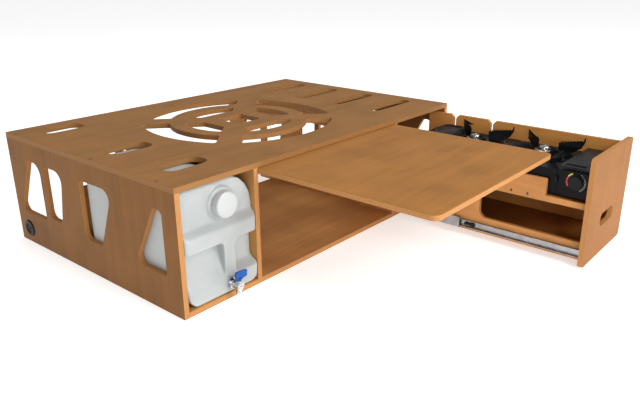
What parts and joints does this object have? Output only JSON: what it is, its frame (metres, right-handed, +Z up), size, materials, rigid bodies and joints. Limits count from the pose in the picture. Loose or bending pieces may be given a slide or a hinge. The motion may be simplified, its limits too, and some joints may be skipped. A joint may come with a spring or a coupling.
{
  "type": "vehicle camping kitchen platform box",
  "caption": "Low plywood platform box with a pull-out cooking drawer, a sliding table board, a water canister with tap and a cut-out top.",
  "frame": {"origin": "centre of the box's footprint, on the plane it rests on", "axes": "+X along the front from the canister side to the drawer side, +Y from the open front to the back, +Z up"},
  "size_m": [1.249, 1.49, 0.35],
  "materials": {
    "ply_board": "oiled birch plywood, satin",
    "steel_screw": "zinc-plated, dull",
    "nylon_white": "white nylon, matt",
    "black_plastic": "black moulded plastic, matt",
    "dark_core": "black, deep set, matt",
    "slide_steel": "bright zinc-plated rolled steel",
    "stove_enamel": "black satin enamel",
    "fascia_enamel": "dark grey satin enamel with a plain coloured scale",
    "trivet_enamel": "black heat-proof enamel",
    "burner_alloy": "cast, with a pierced steel crown",
    "foot_rubber": "black rubber",
    "tank_plastic": "natural white polythene, slightly translucent",
    "cap_plastic": "white, matt",
    "tap_chrome": "chrome-plated brass",
    "lever_blue": "blue vinyl coating"
  },
  "bodies": {
    "carcass": {"top_panel": "ply_board", "side_panel_left": "ply_board", "side_panel_right": "ply_board", "divider_left": "ply_board", "divider_right": "ply_board", "bottom_board": "ply_board", "canister_stop": "ply_board", "carcass_screws": "steel_screw", "table_glides": "nylon_white", "round_fitting": "black_plastic", "fitting_core": "dark_core", "slide_outers": "slide_steel"},
    "slide_mid": {"slide_middles": "slide_steel", "ball_cages": "slide_steel"},
    "drawer": {"drawer_front": "ply_board", "drawer_side_near": "ply_board", "drawer_side_far": "ply_board", "drawer_back": "ply_board", "drawer_bottom": "ply_board", "drawer_shelf": "ply_board", "drawer_screws": "steel_screw", "slide_inners": "slide_steel", "stove_bodies": "stove_enamel", "cartridge_troughs": "stove_enamel", "stove_fascias": "fascia_enamel", "stove_feet": "foot_rubber", "stove_trivets": "trivet_enamel", "stove_burners": "burner_alloy"},
    "release_near": {"slide_release_near": "black_plastic"},
    "release_far": {"slide_release_far": "black_plastic"},
    "table": {"table_board": "ply_board"},
    "dial_front": {"dial_front": "black_plastic"},
    "dial_rear": {"dial_rear": "black_plastic"},
    "lid_front": {"cartridge_lid_front": "stove_enamel"},
    "lid_rear": {"cartridge_lid_rear": "stove_enamel"},
    "lock_front": {"lock_lever_front": "black_plastic"},
    "lock_rear": {"lock_lever_rear": "black_plastic"},
    "canister": {"canister": "tank_plastic", "tap_body": "tap_chrome"},
    "cap": {"canister_cap": "cap_plastic"},
    "tap_lever": {"tap_lever": "lever_blue"}
  },
  "joints": [
    {"name": "drawer_slide", "type": "slide", "parent": "carcass", "child": "drawer", "axis": [0, -1, 0], "range_m": [-0.6495, 0]},
    {"name": "slide_mid_run", "type": "slide", "parent": "carcass", "child": "slide_mid", "axis": [0, -1, 0], "range_m": [-0.32475, 0]},
    {"name": "release_near_tilt", "type": "hinge", "parent": "drawer", "child": "release_near", "pos_m": [0.3036, -0.6875, 0.042], "axis": [1, 0, 0], "range_deg": [-5, 5], "stiffness_Nm_per_rad": 0.05},
    {"name": "release_far_tilt", "type": "hinge", "parent": "drawer", "child": "release_far", "pos_m": [0.5994, -0.6875, 0.042], "axis": [1, 0, 0], "range_deg": [-5, 5], "stiffness_Nm_per_rad": 0.05},
    {"name": "table_slide", "type": "slide", "parent": "carcass", "child": "table", "axis": [0, -1, 0], "range_m": [-0.545, 0]},
    {"name": "dial_front_turn", "type": "hinge", "parent": "drawer", "child": "dial_front", "pos_m": [0.3149, -1.0195, 0.25], "axis": [-1, 0, 0], "range_deg": [0, 95]},
    {"name": "dial_rear_turn", "type": "hinge", "parent": "drawer", "child": "dial_rear", "pos_m": [0.5695, -0.4755, 0.25], "axis": [1, 0, 0], "range_deg": [0, 95]},
    {"name": "lid_front_hinge", "type": "hinge", "parent": "drawer", "child": "lid_front", "pos_m": [0.4412, -0.961, 0.2763], "axis": [-1, 0, 0], "range_deg": [0, 60]},
    {"name": "lid_rear_hinge", "type": "hinge", "parent": "drawer", "child": "lid_rear", "pos_m": [0.4432, -0.534, 0.2763], "axis": [1, 0, 0], "range_deg": [0, 60]},
    {"name": "lock_front_press", "type": "slide", "parent": "drawer", "child": "lock_front", "axis": [0, 0, -1], "range_m": [0, 0.012]},
    {"name": "lock_rear_press", "type": "slide", "parent": "drawer", "child": "lock_rear", "axis": [0, 0, -1], "range_m": [0, 0.012]},
    {"name": "canister_out", "type": "slide", "parent": "carcass", "child": "canister", "axis": [0, -1, 0], "range_m": [0, 0.4]},
    {"name": "cap_turn", "type": "hinge", "parent": "canister", "child": "cap", "pos_m": [-0.4755, -0.3985, 0.27], "axis": [0, -1, 0], "range_deg": [0, 540]},
    {"name": "tap_lever_turn", "type": "hinge", "parent": "canister", "child": "tap_lever", "pos_m": [-0.4675, -0.4455, 0.061], "axis": [0, 0, -1], "range_deg": [0, 90]}
  ],
  "couplings": [
    {"joint": "slide_mid_run", "follows": "drawer_slide", "ratio": 0.5}
  ]
}
